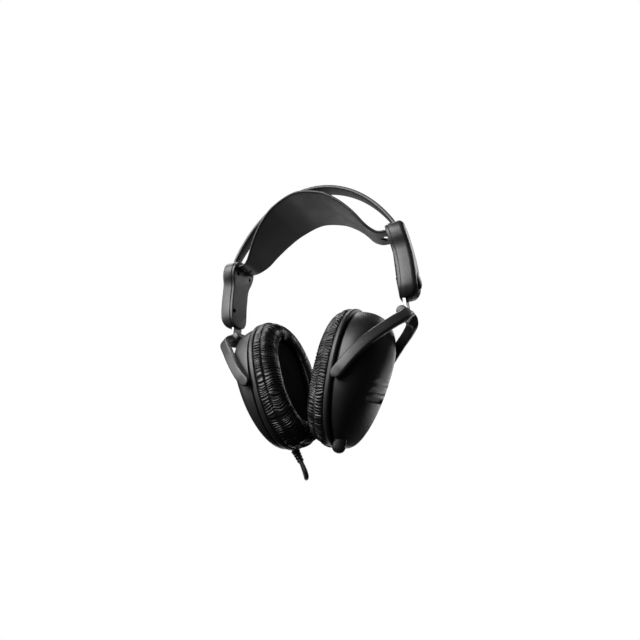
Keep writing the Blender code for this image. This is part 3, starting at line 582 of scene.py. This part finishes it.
def housing_layers(side, layers):
    outline = housing_outline()
    rings = [inset(outline, shrink) for x, shrink in layers]

    def place(i, j):
        point = rings[i][j % len(outline)]
        deep = layers[i][0] * (1.0 - slimmed(point.y)) if layers[i][0] > 0 else layers[i][0]
        return house(side, deep + bowed(point.y), point.x, point.y)

    bm = bmesh.new()
    wrap(bm, len(layers) - 1, len(outline), place)
    close_ends(bm)
    return bm


def screw_places():
    return [(sign * SCREW_SPREAD, row) for row in SCREW_ROWS for sign in (-1, 1)]


def build_screw(label, side, number, y, down):
    """Sunk screw with a cross recess."""
    out = mirror(side, HOUSE_OUT)
    foot = house(side, bowed(down) - 1.4, y, down)
    bm = bmesh.new()
    turned(bm, foot, out, [(0, 0.0), (SCREW_RADIUS - 0.3, 0.0), (SCREW_RADIUS, 0.2), (SCREW_RADIUS, 0.7),
                           (SCREW_SHANK, 1.7), (SCREW_SHANK, 8.2), (0, 8.5)], 28)
    low = mirror(side, HOUSE_DOWN)
    cross = bmesh.new()
    box(cross, foot - out * 0.5 - REAR * 1.1 - low * 0.25, (out * 1.1, REAR * 2.2, low * 0.5))
    bm = carve(bm, cross)
    cross = bmesh.new()
    box(cross, foot - out * 0.5 - REAR * 0.25 - low * 1.1, (out * 1.1, REAR * 0.5, low * 2.2))
    piece(carve(bm, cross), f"{label}_sunk_screw_{number}", "screw_steel", "frame",
          f"{label}_cover_screw_{number}")


def build_housing(label, side):
    out = mirror(side, HOUSE_OUT)
    turn = [math.pi / 2 * k / 8 for k in range(9)]
    face = [(HOUSING_DEPTH - 4.4 + 4.4 * math.sin(a), 5.0 * (1.0 - math.cos(a))) for a in turn]
    piece(housing_layers(side, [(0.0, 0.5), (0.2, 0.15), (0.6, 0.0), (4.0, 0.0)] + face),
          f"{label}_housing_moulding", "housing_plastic", "frame", f"{label}_housing", sharp=60.0)

    plate = housing_layers(side, [(-GAP, 0.6), (-1.9, 0.6), (-2.4, 0.75), (-2.7, 1.1),
                                  (-COVER_THICK - GAP, 1.6)])
    cuts = bmesh.new()
    for y, down in screw_places():
        turned(cuts, house(side, bowed(down) + 1.0, y, down), -out,
               [(0, 0), (SCREW_RADIUS + GAP, 0.0), (SCREW_RADIUS + GAP, 6.0), (0, 6.0)], 32)
    end = STRAP_END_WIDTH / 2 + GAP
    low = HOUSING_TOP.z - STRAP_SEAT - STRAP_SAG - 2 * GAP
    box(cuts, Vector((side * (HOUSING_TOP.x - 9.0), -end, low)),
        (Vector((side * 18.0, 0, 0)), REAR * (2 * end), Vector((0, 0, STRAP_THICK + 4 * GAP))))
    piece(carve(plate, cuts), f"{label}_cover_moulding", "housing_plastic", "frame",
          f"{label}_housing_cover")
    for number, (y, down) in enumerate(screw_places(), 1):
        build_screw(label, side, number, y, down)

    r = CAP_RADIUS
    cap = bmesh.new()
    place = HOUSING_LENGTH - CAP_PLACE
    foot = HOUSING_DEPTH - CAP_SEAT + GAP + bowed(place) - CAP_SUNK
    turned(cap, house(side, foot, 0.0, place), out,
           [(0, 0), (r, 0.0), (r, 2.4), (r - 0.1, 3.1), (r - 0.5, 3.8), (r - 1.2, 4.4), (r - 2.4, 4.85),
            (r - 4.0, 5.15), (0, 5.3)], 64)
    piece(cap, f"{label}_catch_cap", "housing_plastic", "frame", f"{label}_detent_cap")


for label, side in SIDES.items():
    build_housing(label, side)

# %% [markdown]
# ## Sliders
# A strip of spring steel runs in each housing and carries the yoke. It is sheared from
# stock, so its long edges are only broken. The catch drops into a row of notches.

# %% Slider strips
NOTCH_PITCH, NOTCHES = 3.75, 8


def build_strip(label, side):
    out, down = mirror(side, HOUSE_OUT), mirror(side, HOUSE_DOWN)
    bm = bmesh.new()
    box(bm, house(side, STRIP_X - STRIP_THICK / 2, -STRIP_WIDTH / 2, STRIP_TOP),
        (out * STRIP_THICK, REAR * STRIP_WIDTH, down * (STRIP_END - STRIP_TOP)))
    bmesh.ops.bevel(bm, geom=bm.edges[:], offset=0.3 * MM, segments=2, profile=0.5, affect="EDGES",
                    material=-1)
    notches = bmesh.new()
    for k in range(NOTCHES):
        notch = house(side, STRIP_X + STRIP_THICK, 0.0, HOUSING_LENGTH - CAP_PLACE - k * NOTCH_PITCH)
        turned(notches, notch, -out, [(0, 0), (1.1, 0.0), (1.1, 1.6), (0, 1.6)], 20)
    piece(carve(bm, notches), f"{label}_spring_strip", "strip_steel", f"{label}_slider",
          f"{label}_slider_strip")


for label, side in SIDES.items():
    build_strip(label, side)

# %% [markdown]
# ## Yokes
# A yoke is one moulding shaped like a tuning fork: a crown with a rounded knuckle that grips
# the strip, and two arms that reach round the cup to its pivots. A soft-edged bar is swept
# along the fork's middle line and swells towards the crown.

# %% Yokes
ARM_SHARES = [(0.0, 0.0, 0.0), (-0.034, 0.195, 0.030), (-0.017, 0.336, 0.095), (0.107, 0.498, 0.199),
              (0.318, 0.671, 0.360), (0.539, 0.836, 0.546), (0.749, 0.952, 0.749), (0.896, 0.996, 0.901)]
CROWN_REACH, CROWN_WIDER, CROWN_HIGHER = 13.0, 5.0, 1.4
KNUCKLE_OFFSET = Vector((-3.54, 0.0, 0.99))


def arm_line():
    crown = SLIDER_END + Vector((CROWN_OUT - CROWN_TUCK, 0.0, -CROWN_DROP))
    way = PIVOT - crown
    return [crown + Vector((way.x * a, way.y * b, way.z * c)) for a, b, c in ARM_SHARES]


def build_yoke(label, side):
    half = curve_through(arm_line() + [PIVOT], 9)
    line = [Vector((p.x, -p.y, p.z)) for p in reversed(half[1:])] + half
    reach = Vector((half[0].x - PIVOT.x, 0.0, half[0].z - PIVOT.z)).normalized()
    face = Vector((-reach.z, 0.0, reach.x))
    last = len(line) - 1
    tip_steps, round_end = 8, ARM_HEIGHT * 0.48
    rings = []
    for k in range(-tip_steps, last + tip_steps + 1):
        i = min(max(k, 0), last)
        along = (line[min(i + 1, last)] - line[max(i - 1, 0)]).normalized()
        across = face.cross(along).normalized()
        crown = math.exp(-(line[i].y / CROWN_REACH) ** 2)
        turn = math.pi / 2 * (k - i) / tip_steps
        middle = line[i] + along * (round_end * math.sin(turn))
        section = soft_rectangle(ARM_WIDTH + CROWN_WIDER * crown, ARM_HEIGHT + CROWN_HIGHER * crown, 1.7, 5)
        rings.append([mirror(side, middle + across * c.x + face * (c.y * math.cos(turn))) for c in section])
    bm = bmesh.new()
    wrap(bm, len(rings) - 1, len(rings[0]), lambda i, j: rings[i][j % len(rings[i])])

    lobe = mirror(side, SLIDER_END + KNUCKLE_OFFSET)
    wide, r = KNUCKLE_WIDTH / 2, KNUCKLE_RADIUS
    turned(bm, lobe, REAR,
           [(0, -wide), (r - 1.0, -wide), (r - 0.3, -wide + 0.3), (r, -wide + 1.0), (r, wide - 1.0),
            (r - 0.3, wide - 0.3), (r - 1.0, wide), (0, wide)], 40)
    piece(bm, f"{label}_fork", "yoke_plastic", f"{label}_slider", f"{label}_yoke", sharp=50.0)


for label, side in SIDES.items():
    build_yoke(label, side)

# %% [markdown]
# ## Cup shells
# The shell is a raked dome: deepest above the middle, with a lip that stands off the rim
# by a shadow groove. Three louvres are cut across its crown, and the right one has a
# recess for the stowed microphone.

# %% Shells and rims
LOUVRES, LOUVRE_FIRST, LOUVRE_PITCH = 3, -0.5, 7.0
LOUVRE_START, LOUVRE_LONG = -23.0, 44.0


def build_shell(label, side):
    turns, steps = 144, 60
    lip = SHELL_BASE + GROOVE_WIDTH
    neck = SHELL_INSET + GROOVE_DEPTH
    foot = [(SHELL_BASE, neck), (lip - 0.3, neck), (lip - 0.1, SHELL_INSET + 0.5),
            (lip + 0.1, SHELL_INSET + 0.1)]

    def place(i, j):
        angle = 2.0 * math.pi * (i % turns) / turns
        if j < len(foot):
            p, shrink = foot[j]
            return cup(side, p, *oval(angle, shrink))
        turn = math.pi / 2 * (j - len(foot) + 1) / (steps - len(foot) + 1)
        level = math.sin(turn) ** (2 / DOME_POWER)
        scale = max(math.cos(turn), 0.0) ** (2 / DOME_POWER) if j < steps else 0.0
        q, s = oval(angle, SHELL_INSET)
        return cup(side, lip + level * (SHELL_DEPTH + SHELL_RAKE * s * scale), q * scale, s * scale)

    bm = bmesh.new()
    wrap(bm, turns, steps, place)
    close_ends(bm)
    cuts = bmesh.new()
    up, out = mirror(side, CUP_UP), mirror(side, CUP_OUT)
    for k in range(LOUVRES):
        s = LOUVRE_FIRST - LOUVRE_PITCH * k
        top = SHELL_BASE + GROOVE_WIDTH + SHELL_DEPTH + SHELL_RAKE * s - 0.006 * s * s
        box(cuts, cup(side, top + 0.2, LOUVRE_START, s + 2.6),
            (-up * 4.6 - out * 2.6, REAR * LOUVRE_LONG, out * 8.0))
    if side > 0:
        hole, deep = MIC_RADIUS + 0.5, MIC_LENGTH + 0.6
        turned(cuts, cup(side, MIC_P, MIC_Q, -CUP_HEIGHT / 2), up,
               [(0, -8.0), (hole, -8.0), (hole, deep), (0, deep)], 40)
    piece(carve(bm, cuts), f"{label}_shell_moulding", "shell_plastic", f"{label}_cup",
          f"{label}_cup_shell")


def build_rim(label, side):
    turns = 144
    keys = [(RIM_BAND, RIM_FRONT), (1.4, RIM_FRONT), (0.6, RIM_FRONT + 0.4), (0.2, RIM_FRONT + 1.2),
            (0.0, RIM_BACK - 1.8), (0.2, RIM_BACK - 0.8), (1.0, RIM_BACK), (RIM_BAND, RIM_BACK)]
    section = [Vector(keys[0])] + curve_through(keys[1:-1], 5) + [Vector(keys[-1])]

    def place(i, j):
        shrink, p = section[j % len(section)]
        return cup(side, p, *oval(2.0 * math.pi * (i % turns) / turns, shrink))

    bm = bmesh.new()
    wrap(bm, turns, len(section), place)
    piece(bm, f"{label}_rim_moulding", "rim_plastic", f"{label}_cup", f"{label}_cup_rim", sharp=50.0)


for label, side in SIDES.items():
    build_shell(label, side)
    build_rim(label, side)

# %% [markdown]
# ## Ear cushions
# A cushion is a foam ring in a leatherette cover. The cover is longer than the oval it is
# sewn to, so it gathers: fine pleats run across the side wall and on over the crown roll,
# never quite regular. Each pleat here is a shallow rounded ridge between two creases, and
# the whole ring is a wedge, thinner at the top.

# %% Cushions
PLEAT_LEAST, PLEAT_MOST, PLEAT_DEPTH = 1.6, 3.2, 1.15
CUSHION_THIN = 0.16


def cushion_section():
    """Closed section as (shrink, p, strength of the pleats)."""
    deep = CUSHION_BACK - CUSHION_FRONT
    keys = [(1.2, 0.0, 0.0), (0.5, 0.08, 0.6), (0.4, 0.22, 0.9), (0.9, 0.36, 0.9), (2.3, 0.45, 0.5),
            (2.6, 0.54, 0.7), (3.3, 0.68, 1.0), (5.0, 0.83, 1.0), (7.8, 0.94, 1.0), (11.0, 1.0, 0.9),
            (14.2, 0.98, 0.9), (17.2, 0.90, 0.7), (19.2, 0.77, 0.5), (CUSHION_ROLL, 0.60, 0.3),
            (18.7, 0.30, 0.1), (17.6, 0.0, 0.0)]
    return curve_through([(shrink, CUSHION_BACK - deep * t, tight) for shrink, t, tight in keys], 4)


def pleat_creases(length, seed):
    """Places of the creases round the ring, each with its own depth."""
    chance = random.Random(seed)
    places = [0.0]
    while places[-1] < length:
        places.append(places[-1] + chance.uniform(PLEAT_LEAST, PLEAT_MOST))
    stretch = length / places[-1]
    return [(place * stretch, chance.uniform(0.45, 1.15)) for place in places]


def pleat_table(length, turns, seed):
    """How far each step round the ring is pressed in, from 0 on a ridge to 1 in a crease."""
    creases = pleat_creases(length, seed)
    table = []
    k = 0
    for i in range(turns):
        walked = length * i / turns
        while creases[k + 1][0] <= walked:
            k += 1
        (a, first), (b, second) = creases[k], creases[k + 1]
        x = (walked - a) / (b - a)
        table.append((first * (1 - x) + second * x) * abs(math.cos(math.pi * x)) ** 1.3)
    return table


def even_angles(turns):
    """Angles that step evenly along the oval."""
    fine = 4000
    points = [Vector(oval(2.0 * math.pi * i / fine)) for i in range(fine + 1)]
    walked = [0.0]
    for a, b in zip(points, points[1:]):
        walked.append(walked[-1] + (b - a).length)
    angles = []
    k = 0
    for i in range(turns):
        target = walked[-1] * i / turns
        while walked[k + 1] <= target:
            k += 1
        angles.append(2.0 * math.pi * (k + (target - walked[k]) / (walked[k + 1] - walked[k])) / fine)
    return angles, walked[-1]


def build_cushion(label, side):
    turns = 1440
    section = cushion_section()
    angles, length = even_angles(turns)
    pleats = pleat_table(length, turns, 11 + side)
    count = len(section)

    def place(i, j):
        i, j = i % turns, j % count
        shrink, p, tight = section[j]
        along = section[(j + 1) % count] - section[j - 1]
        normal = Vector((along.y, -along.x)).normalized()
        drift = noise.noise(Vector((i * 0.021, j * 0.06, 3.0 * side)))
        pressed = pleats[(i + round(14.0 * drift)) % turns]
        patch = 0.80 + 0.5 * noise.noise(Vector((i * 0.05, j * 0.07, 7.0)))
        depth = PLEAT_DEPTH * tight * pressed * patch
        q, s = oval(angles[i], shrink - normal.x * depth)
        thin = CUSHION_THIN + CUSHION_THIN * s / (CUP_HEIGHT / 2)
        return cup(side, CUSHION_BACK + (p - normal.y * depth - CUSHION_BACK) * (1.0 - thin), q, s)

    bm = bmesh.new()
    wrap(bm, turns, count, place)
    item = piece(bm, f"{label}_pleated_cushion", "cushion_leather", f"{label}_cup", f"{label}_ear_cushion",
                 sharp=180.0)


for label, side in SIDES.items():
    build_cushion(label, side)

# %% [markdown]
# Behind the cushion's opening a thin knitted cloth keeps dust off the driver. It is
# stretched over the baffle and bulges a little.

# %% Ear cloths
CLOTH_INSET, CLOTH_THICK, CLOTH_BULGE = 18.9, 0.7, 0.9


def build_ear_cloth(label, side):
    turns, steps = 96, 20
    front, back = BAFFLE_FRONT - CLOTH_THICK, BAFFLE_FRONT

    def place(i, j):
        share = 1.0 - abs(j - steps) / steps
        q, s = oval(2.0 * math.pi * (i % turns) / turns, CLOTH_INSET)
        p = back if j > steps else front - CLOTH_BULGE * (1.0 - share ** 2)
        return cup(side, p, q * share, s * share)

    bm = bmesh.new()
    wrap(bm, turns, 2 * steps, place)
    item = piece(bm, f"{label}_knitted_cloth", "ear_cloth", f"{label}_cup", f"{label}_ear_cloth")


for label, side in SIDES.items():
    build_ear_cloth(label, side)

# %% [markdown]
# ## Microphone
# The bullet at the foot of the right cup is the tip of a boom that pulls out of the shell.
# It is a turned capsule with a soft nose.

# %% Microphone capsule
NOSE_LENGTH = 4.6
capsule = bmesh.new()
quarter = [math.pi / 2 * k / 10 for k in range(11)]
nose = [(MIC_RADIUS * math.sin(a), NOSE_LENGTH * (1.0 - math.cos(a))) for a in quarter]
turned(capsule, cup(1, MIC_P, MIC_Q, -CUP_HEIGHT / 2), CUP_UP,
       nose + [(MIC_RADIUS, MIC_LENGTH - 1.6), (MIC_RADIUS - 0.5, MIC_LENGTH - 0.5),
               (MIC_RADIUS - 1.2, MIC_LENGTH), (0, MIC_LENGTH)], 56)
piece(capsule, "microphone_bullet", "microphone_plastic", "microphone", "microphone_capsule")

# %% [markdown]
# ## Cord
# The cord is 1.2 m of limp 3.5 mm lead, as such a headset has; the photograph shows only
# its first centimetres. It leaves the left cup through a ribbed strain relief, hangs, turns
# back under the cup and ends in a hank that a tie holds to the yoke's rear arm, out of
# sight. The route's points match the model's.

# %% Cord, strain relief, tie and plug
HANK_RUN, HANK_FOLD, HANK_PITCH, HANK_LOOPS = 64.0, 7.0, 4.05, 6
HANK_BACK, HANK_OFF = 22.0, 6.6
PLUG_ROOM = 3.2
TIE_PLACE = 11.0


def relief_axis():
    along = mirror(-1, CUP_OUT * RELIEF_LEAN - CUP_UP * math.sqrt(1.0 - RELIEF_LEAN ** 2))
    return cup(-1, *RELIEF_START), along


def hank_frame():
    arm = arm_line()
    along = mirror(-1, arm[4] - arm[6]).normalized()
    away = (REAR - along * REAR.dot(along)).normalized()
    return mirror(-1, arm[5]), along, away, along.cross(away)


def hank_point(a, b, n):
    knot, along, away, across = hank_frame()
    return knot + along * a + away * b + across * n


def hank_route():
    """A stadium wound as a flat spring, with a straight run into the plug."""
    half, radius = HANK_RUN / 2, HANK_FOLD
    lap = [(-half + HANK_RUN * i / 6, -radius) for i in range(7)]
    for i in range(1, 6):
        a = -math.pi / 2 + math.pi * i / 6
        lap.append((half + radius * math.cos(a), radius * math.sin(a)))
    lap += [(half - HANK_RUN * i / 6, radius) for i in range(7)]
    for i in range(1, 6):
        a = math.pi / 2 + math.pi * i / 6
        lap.append((-half + radius * math.cos(a), radius * math.sin(a)))
    total = len(lap) * HANK_LOOPS
    points = []
    for i in range(total + 2):
        a, b = lap[i % len(lap)]
        aside = PLUG_ROOM * max(0.0, i - total + 5) / 6
        across = HANK_PITCH * (i / len(lap) - HANK_LOOPS / 2) + aside
        points.append(hank_point(a - HANK_BACK, HANK_OFF + radius + b, across))
    return points


def lead_route(hank):
    start, along = relief_axis()
    tip = start + along * RELIEF_LENGTH
    into = (hank[1] - hank[0]).normalized()
    free = [(-13.9, 6.4, -233.6), (-14.2, 8.8, -237.0), (-16.4, 13.0, -239.4), (-20.1, 19.5, -239.9),
            (-25.6, 28.2, -237.2), (-32.7, 36.9, -231.2), (-40.8, 45.2, -222.6), (-44.6, 53.6, -212.4),
            (-43.4, 61.6, -202.0), (-37.4, 68.4, -194.2), (-28.0, 74.0, -190.0), (-17.6, 78.2, -188.4),
            (-8.2, 80.4, -186.4), (-2.2, 80.6, -181.6), (-2.6, 78.3, -176.0)]
    last = [hank[0] - into * 9.0, hank[0] - into * 4.0]
    return [tip, tip + along * 4.0] + [Vector(p) for p in free] + last


def tube(bm, points, radius, sides):
    """Sweeps a circle along points; its start turns as little as it can from one to the next."""
    aside = (points[1] - points[0]).orthogonal().normalized()
    rings = []
    for i, point in enumerate(points):
        along = (points[min(i + 1, len(points) - 1)] - points[max(i - 1, 0)]).normalized()
        aside = (aside - along * aside.dot(along)).normalized()
        other = along.cross(aside)
        turns = [2.0 * math.pi * k / sides for k in range(sides)]
        rings.append([point + aside * (radius * math.cos(a)) + other * (radius * math.sin(a))
                      for a in turns])
    wrap(bm, len(points) - 1, sides, lambda i, j: rings[i][j % sides])
    close_ends(bm)


def build_cord():
    hank = hank_route()
    points = curve_through(lead_route(hank) + hank, 4)
    bm = bmesh.new()
    tube(bm, points, CORD / 2, 12)
    cord = piece(bm, "cord_jacket", "cord_rubber", None, "cord_lead", "cord_hank")
    length = sum((b - a).length for a, b in zip(points, points[1:]))
    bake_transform(cord)
    return cord, points, length, hank


def build_relief():
    start, along = relief_axis()
    collar = RELIEF_SHANK + 0.9
    profile = [(0, 0.0), (RELIEF_SHANK, 0.0), (RELIEF_SHANK, 7.8), (collar - 0.2, 7.9), (collar, 8.1),
               (collar, 8.5)]
    for k in range(4):
        base, size = 8.8 + 2.4 * k, 3.4 - 0.2 * k
        profile += [(size - 0.5, base), (size - 0.1, base + 0.25), (size, base + 0.6), (size, base + 1.3),
                    (size - 0.1, base + 1.65), (size - 0.5, base + 1.9)]
    bm = bmesh.new()
    turned(bm, start, along, profile + [(2.5, RELIEF_LENGTH), (0, RELIEF_LENGTH)], 40)
    return piece(bm, "ribbed_relief", "cord_rubber", "left_cup", "strain_relief", sharp=50.0)


def build_tie():
    """A flat woven strip round the hank and the arm."""
    wide = HANK_PITCH * HANK_LOOPS / 2 + CORD / 2 + 2.6
    half = [(5.8, -4.8), (7.0, 0.6), (wide - 1.8, 2.6), (wide, 6.0), (wide, 20.5), (wide - 1.8, 23.9)]
    loop = half + [(-n, b) for n, b in reversed(half)]
    loop = [Vector(p) for p in loop]
    line = curve_through(loop[-2:] + loop + loop[:3], 6)[12:12 + 6 * len(loop)]
    section = soft_rectangle(3.0, 1.0, 0.45, 3)
    count = len(line)

    def place(i, j):
        here = line[i % count]
        along = (line[(i + 1) % count] - line[i % count - 1]).normalized()
        corner = section[j % len(section)]
        return hank_point(TIE_PLACE + corner.x, here.y + along.x * corner.y, here.x - along.y * corner.y)

    bm = bmesh.new()
    wrap(bm, count, len(section), place)
    return piece(bm, "hank_tie", "tie_cloth", "left_slider", "cord_tie")


def build_plug(hank):
    into = (hank[-1] - hank[-2]).normalized()
    start = hank[-1] + into * GAP
    grip = bmesh.new()
    turned(grip, start, into,
           [(0, 0.0), (2.4, 0.0), (2.7, 0.4), (3.2, 2.0), (3.4, 7.0), (3.7, 8.4), (4.2, 9.0), (4.2, 20.0),
            (4.0, 20.7), (3.6, 21.0), (0, 21.0)], 40)
    grip = piece(grip, "plug_grip", "cord_rubber", "left_slider", "plug", look=GRIP_RUBBER)
    pin = bmesh.new()
    turned(pin, start, into,
           [(0, 21.0), (1.75, 21.0), (1.75, 26.2), (1.55, 26.4), (1.55, 26.9), (1.75, 27.1), (1.75, 31.0),
            (1.2, 31.6), (1.75, 32.4), (0.7, 34.6), (0, 35.0)], 40)
    pin = piece(pin, "plug_contacts", "plug_metal", "left_slider", "plug")
    return grip, pin


cord, cord_path, cord_length, hank = build_cord()
relief = build_relief()
tie = build_tie()
grip, pin = build_plug(hank)
print("cord length mm", round(cord_length))
